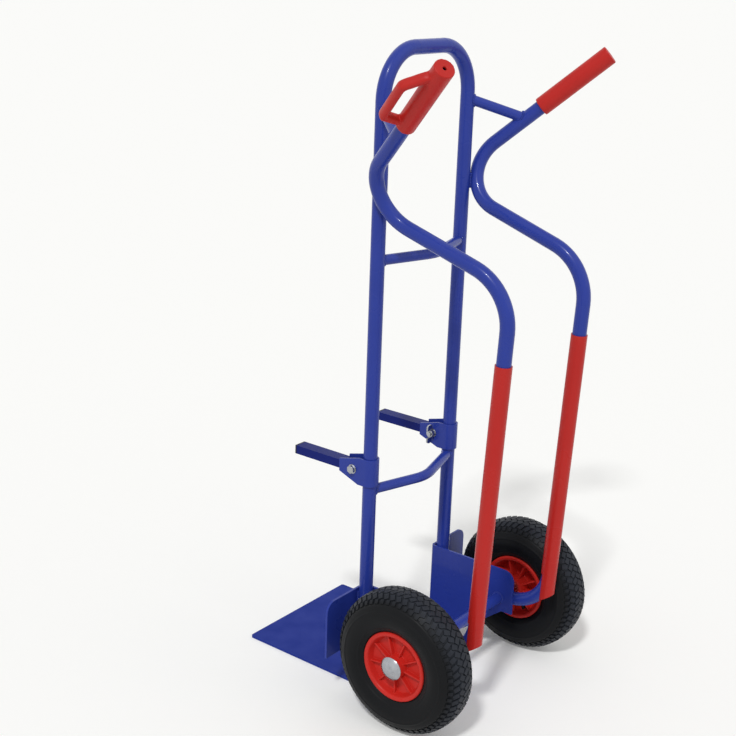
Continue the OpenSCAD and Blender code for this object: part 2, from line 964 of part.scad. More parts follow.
// Block along the arm from front y0 to rear y1, smaller than the arm by inset on each side
module arm_block(inset, y0, y1) {
  translate([upright_half - arm_w / 2 + inset, y0, arm_z - arm_h / 2 + inset])
    cube([arm_w - 2 * inset, y1 - y0, arm_h - 2 * inset]);
}

module right_arm() {
  color(blue)
    difference() {
      arm_block(0, -arm_tip, -arm_back);
      arm_block(arm_wall, -arm_tip - cut, -arm_back + cut);
      bolt_line(bolt_d + 2 * bolt_gap, -strap_od, strap_od);
    }
}

module left_arm() {
  mirrored()
    right_arm();
}

module right_arm_plug() {
  core = arm_wall + push_gap;
  color(black)
    difference() {
      union() {
        arm_block(0, -arm_tip - plug_rim, -arm_tip);
        arm_block(core, -arm_tip - plug_rim / 2, -arm_tip + plug_depth);
      }
      arm_block(core + plug_wall, -arm_tip, -arm_tip + plug_depth + cut);
    }
}

module left_arm_plug() {
  mirrored()
    right_arm_plug();
}

module right_bolt() {
  head_d = bolt_flats / cos(30);
  color(zinc)
    union() {
      bolt_line(bolt_d, -bolt_seat - nut_h - bolt_past, bolt_seat + bolt_head / 2);
      translate([upright_half + bolt_seat, -bolt_fore, arm_z])
        rotate([0, 90, 0])
          cylinder(d = head_d, h = bolt_head, $fn = 6);
    }
}

module left_bolt() {
  mirrored()
    right_bolt();
}

module right_bolt_washers() {
  color(zinc)
    difference() {
      union() {
        bolt_line(bolt_washer_d, strap_od / 2, bolt_seat);
        bolt_line(bolt_washer_d, -bolt_seat, -strap_od / 2);
      }
      bolt_line(bolt_d + 2 * bolt_gap, -strap_od, strap_od);
    }
}

module left_bolt_washers() {
  mirrored()
    right_bolt_washers();
}

// Wing nut on the inner side of the clamp
module right_wing_nut() {
  color(zinc)
    translate([upright_half - bolt_seat, -bolt_fore, arm_z])
      rotate([0, -90, 0])
        difference() {
          union() {
            cylinder(d = nut_d, h = nut_h);
            translate([0, wing_t / 2, wing_lift])
              rotate([90, 0, 0])
                linear_extrude(wing_t)
                  translate([-wing_span / 2, 0])
                    round_rect(wing_span, wing_h, wing_corner);
          }
          translate([0, 0, -cut])
            cylinder(d = bolt_d + 2 * push_gap, h = nut_h + cut);
          translate([-nut_d / 2, -wing_t, nut_h])
            cube([nut_d, 2 * wing_t, wing_h]);
        }
}

module left_wing_nut() {
  mirrored()
    right_wing_nut();
}

main_hoop();
upper_cross_bar();
lower_cross_bar();
toe_plate();
axle();
right_slide_rail();
left_slide_rail();
right_handle_brace();
left_handle_brace();
right_slide_sleeve();
left_slide_sleeve();
right_grip();
left_grip();
right_wheel_bracket();
left_wheel_bracket();
right_axle_spacer();
left_axle_spacer();
right_axle_washer();
left_axle_washer();
right_axle_cap();
left_axle_cap();
right_tyre();
left_tyre();
right_inner_tube();
left_inner_tube();
right_rim_outer_half();
left_rim_outer_half();
right_rim_inner_half();
left_rim_inner_half();
right_hub_bushes();
left_hub_bushes();
right_valve();
left_valve();
right_strap();
left_strap();
right_arm();
left_arm();
right_arm_plug();
left_arm_plug();
right_bolt();
left_bolt();
right_bolt_washers();
left_bolt_washers();
right_wing_nut();
left_wing_nut();
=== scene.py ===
import bpy
import bmesh
import json
import math
from mathutils import Matrix, Vector


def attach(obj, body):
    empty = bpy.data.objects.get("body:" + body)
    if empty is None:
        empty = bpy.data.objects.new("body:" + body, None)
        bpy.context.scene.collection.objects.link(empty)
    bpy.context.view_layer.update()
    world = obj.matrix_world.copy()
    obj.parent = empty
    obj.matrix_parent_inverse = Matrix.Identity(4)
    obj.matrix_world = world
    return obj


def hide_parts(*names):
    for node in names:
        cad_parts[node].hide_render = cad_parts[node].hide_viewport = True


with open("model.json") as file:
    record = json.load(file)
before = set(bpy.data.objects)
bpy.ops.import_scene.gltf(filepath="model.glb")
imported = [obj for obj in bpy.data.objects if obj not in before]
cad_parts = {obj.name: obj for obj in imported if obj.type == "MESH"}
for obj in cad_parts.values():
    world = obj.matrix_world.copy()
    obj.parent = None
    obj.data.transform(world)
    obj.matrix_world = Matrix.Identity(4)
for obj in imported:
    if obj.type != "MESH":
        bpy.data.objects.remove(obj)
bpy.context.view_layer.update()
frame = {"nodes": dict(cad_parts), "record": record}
print("frame loaded:", len(frame["nodes"]), "nodes")

mm = 0.001
sides = {"right": 1, "left": -1}
axle = (0, 142 * mm, 130 * mm)  # middle of the wheel axle


def paint(code):
    # sRGB hex to linear colour
    parts = [int(code[i:i + 2], 16) / 255 for i in (1, 3, 5)]
    linear = [c / 12.92 if c <= 0.04045 else ((c + 0.055) / 1.055) ** 2.4 for c in parts]
    return (*linear, 1.0)


def addNode(tree, kind, inputs=None, **settings):
    # one node with its settings; an input may be a value or a socket to link
    node = tree.nodes.new(kind)
    for key, value in settings.items():
        setattr(node, key, value)
    for key, value in (inputs or {}).items():
        if isinstance(value, bpy.types.NodeSocket):
            tree.links.new(value, node.inputs[key])
        else:
            node.inputs[key].default_value = value
    return node


# finishes: colours as hex, lengths in metres, spread is how far the roughness wanders
finishes = {
    # baked powder coat on steel: even gloss over a faint orange peel, a little paler where it thins on edges
    "blue_paint": {"name": "powder coated steel blue", "color": "#2A3D9A", "shade": "#25378E", "wear": "#4657B0",
                   "roughness": 0.28, "spread": 0.05, "specular": 0.16, "coat": 0.15, "grain": 1.6 * mm,
                   "bump": 0.03, "patch": 60 * mm, "edge": 0.7 * mm},
    # the same coat on the arms with painted shade: painted darker than the frame blue, and flatter
    "arm_painted_shade": {"name": "arm blue with painted shade", "color": "#1B2672", "shade": "#172168", "wear": "#34428E",
                  "roughness": 0.36, "spread": 0.05, "specular": 0.06, "grain": 1.6 * mm, "bump": 0.03,
                  "patch": 60 * mm, "edge": 0.7 * mm},
    # the same coat on the toe plate, scuffed matt by what is set down on it
    "toe_paint": {"name": "scuffed powder coat toe blue", "color": "#293B94", "shade": "#213180", "wear": "#4657B0",
                  "roughness": 0.48, "spread": 0.1, "specular": 0.06, "grain": 1.6 * mm, "bump": 0.04,
                  "patch": 45 * mm, "edge": 0.7 * mm},
    # bright zinc plating: a pale mirror broken up by fine clouds
    "zinc_steel": {"name": "zinc plated steel", "color": "#BCBEC2", "shade": "#8F9399", "wear": "#D2D3D6",
                   "roughness": 0.24, "spread": 0.08, "metal": 1.0, "grain": 0.8 * mm, "bump": 0.03,
                   "patch": 9 * mm, "edge": 0.4 * mm},
    # turned bush steel with an oil film: darker and softer than the zinc
    "bush_steel": {"name": "oiled bush steel", "color": "#8E8F92", "shade": "#7A7B80", "wear": "#A6A7AA",
                   "roughness": 0.35, "spread": 0.08, "metal": 1.0, "grain": 0.8 * mm, "bump": 0.02,
                   "patch": 9 * mm, "edge": 0.4 * mm},
    # moulded carbon black rubber: a dull sheen, with a painted sheen in paler grey on the tread; pores drawn coarser
    # than they are
    "tyre_rubber": {"name": "moulded tyre rubber", "color": "#111214", "shade": "#18191B", "roughness": 0.44,
                    "spread": 0.1, "specular": 0.1, "grain": 0.9 * mm, "bump": 0.1, "patch": 35 * mm,
                    "treadSheen": {"tone": "#2B2E35", "from": 113 * mm, "to": 127 * mm}},
    # butyl tube: smooth, dusted and almost without shine
    "tube_rubber": {"name": "butyl tube rubber", "color": "#17181A", "shade": "#1F2022", "roughness": 0.6,
                    "spread": 0.06, "specular": 0.15, "grain": 1.0 * mm, "bump": 0.05, "patch": 30 * mm},
    # injection moulded polypropylene: bright, with soft shine and rounded mould edges
    "rim_plastic": {"name": "moulded polypropylene rim red", "color": "#CB2A22", "shade": "#BE251E",
                    "wear": "#D8453B", "roughness": 0.38, "spread": 0.06, "specular": 0.2, "grain": 1.2 * mm,
                    "bump": 0.03, "patch": 40 * mm, "edge": 0.9 * mm},
    # extruded polyethylene: long even shine, waxy where it has been rubbed
    "sleeve_plastic": {"name": "extruded polyethylene sleeve red", "color": "#BC2823", "shade": "#B0231F",
                       "wear": "#CB423B", "roughness": 0.3, "spread": 0.07, "specular": 0.2, "grain": 1.5 * mm,
                       "bump": 0.03, "patch": 70 * mm, "edge": 0.8 * mm},
    # dip moulded vinyl grip: satin with a fine pebble, drawn coarser than it is
    "grip_plastic": {"name": "moulded vinyl grip red", "color": "#BE2924", "shade": "#B22420", "roughness": 0.38,
                     "spread": 0.06, "specular": 0.18, "grain": 0.8 * mm, "bump": 0.05, "patch": 40 * mm},
    # moulded nylon plug: near black, half matt
    "plug_plastic": {"name": "moulded nylon plug black", "color": "#1B1C1E", "shade": "#232426", "wear": "#303133",
                     "roughness": 0.45, "spread": 0.06, "specular": 0.25, "grain": 0.8 * mm, "bump": 0.05,
                     "patch": 20 * mm, "edge": 0.6 * mm},
}
# what all finishes share: detail and usual range of the noise, where an edge starts to pale and how far it goes
surface = {"patchDetail": 3.0, "grainDetail": 2.0, "noiseLow": 0.3, "noiseHigh": 0.7, "edgeSamples": 4,
           "edgeFrom": 0.98, "edgeTo": 0.75, "edgeShare": 0.7, "coatRoughness": 0.05, "specular": 0.5}


def makeFinish(spec):
    mat = bpy.data.materials.new(spec["name"])
    mat.use_nodes = True
    tree = mat.node_tree
    tree.nodes.clear()
    where = addNode(tree, "ShaderNodeTexCoord").outputs["Object"]
    # slow patches of a second tone; sockets 6 and 7 of a colour Mix are its two colours
    patch = addNode(tree, "ShaderNodeTexNoise", {"Vector": where, "Scale": 1 / spec["patch"],
                                                 "Detail": surface["patchDetail"]})
    tone = addNode(tree, "ShaderNodeMix", {0: patch.outputs["Fac"], 6: paint(spec["color"]), 7: paint(spec["shade"])},
                   data_type="RGBA").outputs[2]
    # fine grain in relief, and gloss that wanders with the patches
    grain = addNode(tree, "ShaderNodeTexNoise", {"Vector": where, "Scale": 1 / spec["grain"],
                                                 "Detail": surface["grainDetail"]})
    bump = addNode(tree, "ShaderNodeBump", {"Height": grain.outputs["Fac"], "Strength": spec["bump"],
                                            "Distance": spec["grain"]})
    gloss = addNode(tree, "ShaderNodeMapRange", {
        "Value": patch.outputs["Fac"], "From Min": surface["noiseLow"], "From Max": surface["noiseHigh"],
        "To Min": spec["roughness"] - spec["spread"], "To Max": spec["roughness"] + spec["spread"]})
    if "treadSheen" in spec:
        # the distance from the axle says where the tread takes its painted sheen, a paler grey towards the block tops
        treadSheen = spec["treadSheen"]
        out = addNode(tree, "ShaderNodeVectorMath", {0: where, 1: axle}, operation="SUBTRACT")
        flat = addNode(tree, "ShaderNodeVectorMath", {0: out.outputs[0], 1: (0, 1, 1)}, operation="MULTIPLY")
        reach = addNode(tree, "ShaderNodeVectorMath", {0: flat.outputs[0]}, operation="LENGTH")
        sheenShare = addNode(tree, "ShaderNodeMapRange", {"Value": reach.outputs["Value"], "From Min": treadSheen["from"],
                                                    "From Max": treadSheen["to"]})
        tone = addNode(tree, "ShaderNodeMix", {0: sheenShare.outputs[0], 6: tone, 7: paint(treadSheen["tone"])},
                       data_type="RGBA").outputs[2]
    if "edge" in spec:
        # edges: a rounded normal, and a paler tone where it leans away from the face
        edge = addNode(tree, "ShaderNodeBevel", {"Radius": spec["edge"]}, samples=surface["edgeSamples"])
        tree.links.new(edge.outputs["Normal"], bump.inputs["Normal"])
        face = addNode(tree, "ShaderNodeNewGeometry").outputs["Normal"]
        lean = addNode(tree, "ShaderNodeVectorMath", {0: edge.outputs["Normal"], 1: face}, operation="DOT_PRODUCT")
        rub = addNode(tree, "ShaderNodeMapRange", {
            "Value": lean.outputs["Value"], "From Min": surface["edgeFrom"], "From Max": surface["edgeTo"],
            "To Min": 0.0, "To Max": surface["edgeShare"]})
        tone = addNode(tree, "ShaderNodeMix", {0: rub.outputs[0], 6: tone, 7: paint(spec["wear"])},
                       data_type="RGBA").outputs[2]
    shader = addNode(tree, "ShaderNodeBsdfPrincipled", {
        "Base Color": tone, "Roughness": gloss.outputs[0], "Metallic": spec.get("metal", 0.0),
        "Specular IOR Level": spec.get("specular", surface["specular"]), "Coat Weight": spec.get("coat", 0.0),
        "Coat Roughness": surface["coatRoughness"], "Normal": bump.outputs["Normal"]})
    addNode(tree, "ShaderNodeOutputMaterial", {"Surface": shader.outputs["BSDF"]})
    return mat


mats = {slot: makeFinish(spec) for slot, spec in finishes.items()}
slotOf = {entry["node"]: entry["material_slot"] for entry in frame["record"]["subparts"]}
# the arms take the blue with painted shade, a darker copy of the frame coat
slotOf.update({"right_arm": "arm_painted_shade", "left_arm": "arm_painted_shade", "toe_plate": "toe_paint"})  # looks only
for nodeName, obj in frame["nodes"].items():
    obj.data.materials.clear()
    obj.data.materials.append(mats[slotOf[nodeName]])
print("finishes set:", len(mats))


def keepPiece(name, mesh, body, slot, replaced=()):
    # a finished piece at the origin, in one finish, riding on its body
    mesh.materials.clear()
    mesh.materials.append(mats[slot])
    for face in mesh.polygons:
        face.material_index = 0
    obj = bpy.data.objects.new(name, mesh)
    bpy.context.scene.collection.objects.link(obj)
    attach(obj, body)
    if replaced:
        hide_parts(*replaced)
    return obj


def closeMesh(bm, name):
    mesh = bpy.data.meshes.new(name)
    bm.to_mesh(mesh)
    bm.free()
    return mesh


def smoothMesh(mesh, angle):
    for face in mesh.polygons:
        face.use_smooth = True
    mesh.set_sharp_from_angle(angle=math.radians(angle))


def latheMesh(name, profile, steps):
    # closed profile of (radius, along) turned about local Z
    bm = bmesh.new()
    rings = []
    for i in range(steps):
        angle = 2 * math.pi * i / steps
        rings.append([bm.verts.new((r * math.cos(angle), r * math.sin(angle), z)) for r, z in profile])
    count = len(profile)
    for i in range(steps):
        a, b = rings[i], rings[(i + 1) % steps]
        for j in range(count):
            k = (j + 1) % count
            bm.faces.new((a[j], b[j], b[k], a[k]))
    bmesh.ops.recalc_face_normals(bm, faces=bm.faces)
    return closeMesh(bm, name)


def onSide(point, sign):
    # a point of the right side, or its mirror on the left
    return Vector((sign * point[0], point[1], point[2]))


def newTree(name, inputs):
    # a geometry tree with named inputs, and the sockets they give
    tree = bpy.data.node_groups.new(name, "GeometryNodeTree")
    tree.interface.new_socket("Geometry", in_out="INPUT", socket_type="NodeSocketGeometry")
    for label, kind in inputs.items():
        tree.interface.new_socket(label, in_out="INPUT", socket_type="NodeSocket" + kind)
    tree.interface.new_socket("Geometry", in_out="OUTPUT", socket_type="NodeSocketGeometry")
    return tree, addNode(tree, "NodeGroupInput").outputs


def turnByIndex(tree, count):
    # the step of an even ring, and each point's turn about Z
    number = addNode(tree, "GeometryNodeInputIndex")
    step = addNode(tree, "ShaderNodeMath", {0: 2 * math.pi, 1: count}, operation="DIVIDE").outputs[0]
    turn = addNode(tree, "ShaderNodeMath", {0: number.outputs[0], 1: step}, operation="MULTIPLY")
    return step, addNode(tree, "ShaderNodeCombineXYZ", {"Z": turn.outputs[0]}).outputs[0]


def closeTree(tree, instances, material, smooth=False):
    # instances made real and given their material
    real = addNode(tree, "GeometryNodeRealizeInstances", {"Geometry": instances})
    if smooth:
        real = addNode(tree, "GeometryNodeSetShadeSmooth", {"Geometry": real.outputs[0]})
    dressed = addNode(tree, "GeometryNodeSetMaterial", {"Geometry": real.outputs[0], "Material": material})
    addNode(tree, "NodeGroupOutput", {"Geometry": dressed.outputs[0]})
    return tree


def bakeTree(name, tree, values, base=None):
    # runs a node tree on a scratch object and returns the plain mesh
    host = bpy.data.objects.new(name + "Host", base or bpy.data.meshes.new(name + "Base"))
    bpy.context.scene.collection.objects.link(host)
    mod = host.modifiers.new("grow", "NODES")
    mod.node_group = tree
    sockets = {s.name: s.identifier for s in tree.interface.items_tree
               if s.item_type == "SOCKET" and s.in_out == "INPUT"}
    for key, value in values.items():
        mod[sockets[key]] = value
    bpy.context.view_layer.update()
    depsgraph = bpy.context.evaluated_depsgraph_get()
    mesh = bpy.data.meshes.new_from_object(host.evaluated_get(depsgraph))
    mesh.name = name
    host.modifiers.remove(mod)
    bpy.data.objects.remove(host)
    return mesh


# tyre: section of the carcass with its beads, and the block rows, each on both sides of the crown;
# sweep and wall angles are degrees from the crown, the bare wall starts at wallFrom and is full at wallFull
tyre = {"wheelX": 193.5 * mm, "ringR": 90.4 * mm, "sectionR": 41 * mm, "crownR": 130 * mm, "steps": 160, "sharp": 50,
        "sweep": 136, "sweepStep": 2, "wallFrom": 50, "wallFull": 58, "wallRings": (74, 76, 114, 116),
        "wallRingHeight": 0.7 * mm, "wallEndR": 64 * mm, "clinchR": 63.4 * mm, "beadR": 56 * mm,
        "beadHalf": 29.6 * mm, "blocks": 60, "depth": 2.6 * mm, "sink": 1.2 * mm,
        "rows": [{"offset": 0.0, "skew": 38, "length": 8.6 * mm, "width": 12.2 * mm, "phase": 0.0, "lean": 1.0,
                  "drop": 0.2 * mm},
                 {"offset": 11.6 * mm, "skew": -32, "length": 8.4 * mm, "width": 11.6 * mm, "phase": 0.5, "lean": 0.55,
                  "drop": 0.7 * mm},
                 {"offset": 22.4 * mm, "skew": 24, "length": 8.0 * mm, "width": 11.2 * mm, "phase": 0.1, "lean": 1.0,
                  "drop": 0.2 * mm},
                 {"offset": 30.6 * mm, "skew": 0, "length": 6.6 * mm, "width": 8.4 * mm, "phase": 0.5, "lean": 1.0,
                  "drop": 0.2 * mm}]}


def treadTree():
    # blocks set round a ring about local Z, each skewed and then tilted to the tyre's shoulder
    tree, put = newTree("tread row", {"Count": "Int", "Ring Radius": "Float", "Offset": "Float", "Tilt": "Float",
                                      "Skew": "Float", "Phase": "Float", "Length": "Float", "Width": "Float",
                                      "Height": "Float", "Rubber": "Material"})
    ring = addNode(tree, "GeometryNodeMeshCircle", {"Vertices": put["Count"], "Radius": put["Ring Radius"]})
    size = addNode(tree, "ShaderNodeCombineXYZ", {"X": put["Height"], "Y": put["Length"], "Z": put["Width"]})
    block = addNode(tree, "GeometryNodeMeshCube", {"Size": size.outputs[0]})
    step, spun = turnByIndex(tree, put["Count"])
    skewed = addNode(tree, "ShaderNodeCombineXYZ", {"X": put["Skew"]})
    tilted = addNode(tree, "ShaderNodeCombineXYZ", {"Y": put["Tilt"]})
    lean = addNode(tree, "FunctionNodeRotateEuler", {"Rotation": skewed.outputs[0], "Rotate By": tilted.outputs[0]})
    pose = addNode(tree, "FunctionNodeRotateEuler", {"Rotation": lean.outputs[0], "Rotate By": spun})
    blocks = addNode(tree, "GeometryNodeInstanceOnPoints", {
        "Points": ring.outputs["Mesh"], "Instance": block.outputs["Mesh"], "Rotation": pose.outputs[0]})
    # the row goes to its place across the tread, and on by a share of a step
    shift = addNode(tree, "ShaderNodeCombineXYZ", {"Z": put["Offset"]})
    share = addNode(tree, "ShaderNodeMath", {0: step, 1: put["Phase"]}, operation="MULTIPLY")
    spin = addNode(tree, "ShaderNodeCombineXYZ", {"Z": share.outputs[0]})
    moved = addNode(tree, "GeometryNodeTransform", {
        "Geometry": blocks.outputs[0], "Translation": shift.outputs[0], "Rotation": spin.outputs[0]})
    return closeTree(tree, moved.outputs[0], put["Rubber"])


def tyreProfile():
    # carcass under the blocks, full on the bare wall, with two moulded rings on each wall
    base = tyre["sectionR"] - tyre["depth"]
    points = []
    for angle in range(-tyre["sweep"], tyre["sweep"] + 1, tyre["sweepStep"]):
        share = (abs(angle) - tyre["wallFrom"]) / (tyre["wallFull"] - tyre["wallFrom"])
        radius = base + tyre["depth"] * min(1, max(0, share))
        if abs(angle) in tyre["wallRings"]:
            radius += tyre["wallRingHeight"]
        r = tyre["ringR"] + radius * math.cos(math.radians(angle))
        if r >= tyre["wallEndR"]:
            points.append((min(r, tyre["crownR"] - tyre["depth"]), radius * math.sin(math.radians(angle))))
    edge, low, half = tyre["clinchR"], tyre["beadR"], tyre["beadHalf"]
    return points + [(edge, half), (low, half), (low, -half), (edge, -half)]


def wheelPlace(sign, turn):
    # from local Z to the wheel's place on the axle, facing the way it is turned
    middle = Matrix.Translation((sign * tyre["wheelX"], axle[1], axle[2]))
    return middle @ Matrix.Rotation(math.radians(90) * turn, 4, "Y")


rowTree = treadTree()


def buildTyre(side, sign):
    bm = bmesh.new()
    carcass = latheMesh(side + "Carcass", tyreProfile(), tyre["steps"])
    smoothMesh(carcass, tyre["sharp"])
    bm.from_mesh(carcass)
    height = tyre["depth"] + tyre["sink"]
    for row in tyre["rows"]:
        for offset in sorted({row["offset"], -row["offset"]}, reverse=True):
            slope = math.asin(offset / tyre["sectionR"])
            reach = min(tyre["ringR"] + tyre["sectionR"] * math.cos(slope), tyre["crownR"]) - row["drop"]
            tilt = slope * row["lean"]
            bm.from_mesh(bakeTree(side + "Row", rowTree, {
                "Count": tyre["blocks"], "Ring Radius": reach - height / 2 * math.cos(tilt),
                "Offset": offset - height / 2 * math.sin(tilt), "Tilt": -tilt,
                "Skew": math.radians(row["skew"]) * sign, "Phase": row["phase"], "Length": row["length"],
                "Width": row["width"], "Height": height, "Rubber": mats["tyre_rubber"]}))
    bmesh.ops.transform(bm, matrix=wheelPlace(sign, sign), verts=bm.verts)
    name = side + "TreadTyre"
    keepPiece(name, closeMesh(bm, name), side + "_wheel", "tyre_rubber", [side + "_tyre"])


for side, sign in sides.items():
    buildTyre(side, sign)
print("tyres built")


# rim: sizes of one moulded half in millimetres, heights over the split between the halves; the fillets and the
# round of the hub are steps of (radius, height) from the foot of the wall, the foot of the hub and its top
rim = {"web": {"Outer": 15, "Inner": 4}, "webT": 5, "hubClear": 11.5, "hubR": 20, "hubTop": 37, "bushR": 14.1,
       "bushLow": 21, "wellIn": 46.8, "wellOut": 50.8, "wellTop": 14, "seat": 55.8, "seatLow": 18.5, "draft": 0.33,
       "lip": [(55.8, 30), (62.4, 30), (63, 30.6), (63, 31.8), (62.6, 32.9), (61.8, 33.6), (60.6, 34), (58.4, 34),
               (56.8, 33.6), (55.6, 32.8), (54.6, 31.4), (53.8, 29.2)],
       "wallFillet": [(0, 2.2), (-0.9, 0.7), (-2.6, 0)], "hubFillet": [(3.4, 0), (1.4, 0.8), (0.6, 2.6)],
       "hubRound": [(0, -1.4), (-0.4, -0.4), (-1.4, 0)], "steps": 144, "sharp": 35,
       "ribs": 9, "ribT": 3.4, "ribHub": 29, "ribLip": 26.5, "ribSink": 1, "ribTaper": 0.8, "ribRound": 0.8}


def wallFoot(top):
    # radius where the drafted wall meets the fillet over the web
    endR, endZ = rim["lip"][-1]
    return endR - (endZ - top - rim["wallFillet"][0][1]) * rim["draft"]


def rimSection(web):
    top, hub, hubTop = web + rim["webT"], rim["hubR"], rim["hubTop"]
    foot = wallFoot(top)
    under = [(rim["hubClear"], 0), (hub, 0), (hub, web), (rim["wellIn"], web), (rim["wellIn"], 0), (rim["wellOut"], 0),
             (rim["wellOut"], rim["wellTop"]), (rim["seat"], rim["seatLow"])]
    dish = [(foot + r, top + z) for r, z in rim["wallFillet"]]
    dish += [(hub + r, top + z) for r, z in rim["hubFillet"]]
    dish += [(hub + r, hubTop + z) for r, z in rim["hubRound"]]
    bush = [(rim["bushR"], hubTop), (rim["bushR"], rim["bushLow"]), (rim["hubClear"], rim["bushLow"])]
    return [(r * mm, z * mm) for r, z in under + rim["lip"] + dish + bush]


def ribTree():
    # one rib set round the hub
    tree, put = newTree("rim ribs", {"Count": "Int", "Plastic": "Material"})
    centre = addNode(tree, "GeometryNodeMeshLine", {"Count": put["Count"], "Offset": (0, 0, 0)})
    spun = turnByIndex(tree, put["Count"])[1]
    ribs = addNode(tree, "GeometryNodeInstanceOnPoints", {
        "Points": centre.outputs[0], "Instance": put["Geometry"], "Rotation": spun})
    return closeTree(tree, ribs.outputs[0], put["Plastic"])


def ribMesh(web):
    # one rib with a sloping top and softened edges, sunk into web, hub and wall
    bm = bmesh.new()
    sink, half, top = rim["ribSink"], rim["ribT"] / 2, web + rim["webT"]
    inner, outer, lip = rim["hubR"] - sink, wallFoot(top) + sink, rim["lip"][-1][0]
    base = [bm.verts.new((x * mm, y * mm, (top - sink) * mm))
            for x, y in ((inner, -half), (outer, -half), (outer, half), (inner, half))]
    crown = [bm.verts.new((x * mm, y * rim["ribTaper"] * mm, z * mm))
             for x, y, z in ((inner, -half, rim["ribHub"]), (lip, -half, rim["ribLip"]),
                             (lip, half, rim["ribLip"]), (inner, half, rim["ribHub"]))]
    bm.faces.new(base[::-1])
    bm.faces.new(crown)
    for i in range(4):
        k = (i + 1) % 4
        bm.faces.new((base[i], base[k], crown[k], crown[i]))
    # only the two long edges of the top are rounded
    crest = [e for e in bm.edges if e.verts[0] in crown and e.verts[1] in crown
             and abs(e.verts[0].co.x - e.verts[1].co.x) > mm]
    bmesh.ops.bevel(bm, geom=crest, offset=rim["ribRound"] * mm, segments=2, profile=0.5, affect="EDGES")
    return closeMesh(bm, "rimRib")


spokeTree = ribTree()


def buildRim(side, sign, half):
    name, web = side + half + "Rim", rim["web"][half]
    bm = bmesh.new()
    dish = latheMesh(name + "Dish", rimSection(web), rim["steps"])
    smoothMesh(dish, rim["sharp"])
    bm.from_mesh(dish)
    bm.from_mesh(bakeTree(name + "Ribs", spokeTree, {"Count": rim["ribs"], "Plastic": mats["rim_plastic"]},
                          ribMesh(web)))
    # the section stands away from the wheel middle, outwards or towards the frame
    turn = sign if half == "Outer" else -sign
    bmesh.ops.transform(bm, matrix=wheelPlace(sign, turn), verts=bm.verts)
    keepPiece(name, closeMesh(bm, name), side + "_wheel", "rim_plastic", [side + "_rim_" + half.lower() + "_half"])


for side, sign in sides.items():
    for half in rim["web"]:
        buildRim(side, sign, half)
print("rims built")


# welds: the ripples of a bead, then what the beads run along
weld = {"pitch": 2.6 * mm, "size": 2.3 * mm, "flat": 0.72, "flatLeast": 0.92, "segments": 8, "rings": 6, "seed": 7,
        # tube ends and the axle
        "upright": 122.5 * mm, "tubeR": 12.5 * mm, "barR": 9 * mm, "bow": 36 * mm, "barZ": (383 * mm, 798 * mm),
        "braceZ": 1050 * mm, "braceShare": 0.504, "knee": (131 * mm, -44 * mm, 899 * mm),
        "handle": (250 * mm, 204 * mm, 1134 * mm), "toeZ": 5 * mm, "toeProud": 0.4 * mm, "axleR": 10 * mm,
        "axleProud": 0.3 * mm, "copeSteps": 40, "ringSteps": 36,
        # knee of the rail against the upright, its steps in millimetres
        "touch": 8.84 * mm, "touchZ": 906 * mm, "touchHalf": 5.6 * mm, "touchRun": range(-4, 5), "touchStep": 3,
        "diagonal": 0.707,
        # sheet edges, their runs in millimetres
        "plateX": 109.85 * mm, "plateIn": 105.85 * mm, "guardY": -12.65 * mm, "sheetT": 4 * mm, "seamProud": 0.7 * mm,
        "seamHalf": 6.8 * mm, "plateRuns": (range(22, 62, 4), range(128, 176, 4)),
        "guardRuns": (range(96, 132, 4), range(146, 184, 4)), "footZ": (123.2 * mm, 136.8 * mm),
        "footRun": range(153, 172, 3), "plateToeRun": range(-6, 15, 3), "guardToeRun": range(112, 140, 4)}


def weldTree():
    # overlapping drops along a path, each a little flattened
    tree, put = newTree("weld bead", {"Pitch": "Float", "Size": "Float", "Flat": "Float", "Seed": "Int",
                                      "Paint": "Material"})
    curve = addNode(tree, "GeometryNodeMeshToCurve", {"Mesh": put["Geometry"]})
    even = addNode(tree, "GeometryNodeResampleCurve", {"Curve": curve.outputs[0], "Length": put["Pitch"]},
                   mode="LENGTH")
    drop = addNode(tree, "GeometryNodeMeshUVSphere", {"Radius": put["Size"], "Segments": weld["segments"],
                                                      "Rings": weld["rings"]})
    tangent = addNode(tree, "GeometryNodeInputTangent")
    facing = addNode(tree, "FunctionNodeAlignEulerToVector", {"Vector": tangent.outputs[0]}, axis="X")
    low = addNode(tree, "ShaderNodeMath", {0: put["Flat"], 1: weld["flatLeast"]}, operation="MULTIPLY")
    spread = addNode(tree, "FunctionNodeRandomValue", {"Seed": put["Seed"], 2: low.outputs[0], 3: put["Flat"]})
    scale = addNode(tree, "ShaderNodeCombineXYZ", {"X": spread.outputs[1], "Y": 1.0, "Z": 1.0})
    beads = addNode(tree, "GeometryNodeInstanceOnPoints", {
        "Points": even.outputs[0], "Instance": drop.outputs[0], "Rotation": facing.outputs[0],
        "Scale": scale.outputs[0]})
    return closeTree(tree, beads.outputs[0], put["Paint"], smooth=True)


def copeLine(start, along, rodR, axis, axisR):
    # closed line where a rod that leaves start along its direction meets a round tube
    along, axis = along.normalized(), axis.normalized()
    sideA = along.orthogonal().normalized()
    sideB = along.cross(sideA)
    lead = along - axis * along.dot(axis)
    points = []
    for i in range(weld["copeSteps"]):
        angle = 2 * math.pi * i / weld["copeSteps"]
        offset = (sideA * math.cos(angle) + sideB * math.sin(angle)) * rodR
        across = offset - axis * offset.dot(axis)
        half = across.dot(lead)
        root = half * half - lead.dot(lead) * (across.dot(across) - axisR * axisR)
        points.append(start + offset + along * ((-half + math.sqrt(max(0, root))) / lead.dot(lead)))
    return points, True


def ringLine(centre, normal, radius):
    sideA = normal.orthogonal().normalized()
    sideB = normal.cross(sideA).normalized()
    angles = [2 * math.pi * i / weld["ringSteps"] for i in range(weld["ringSteps"])]
    return [centre + (sideA * math.cos(a) + sideB * math.sin(a)) * radius for a in angles], True


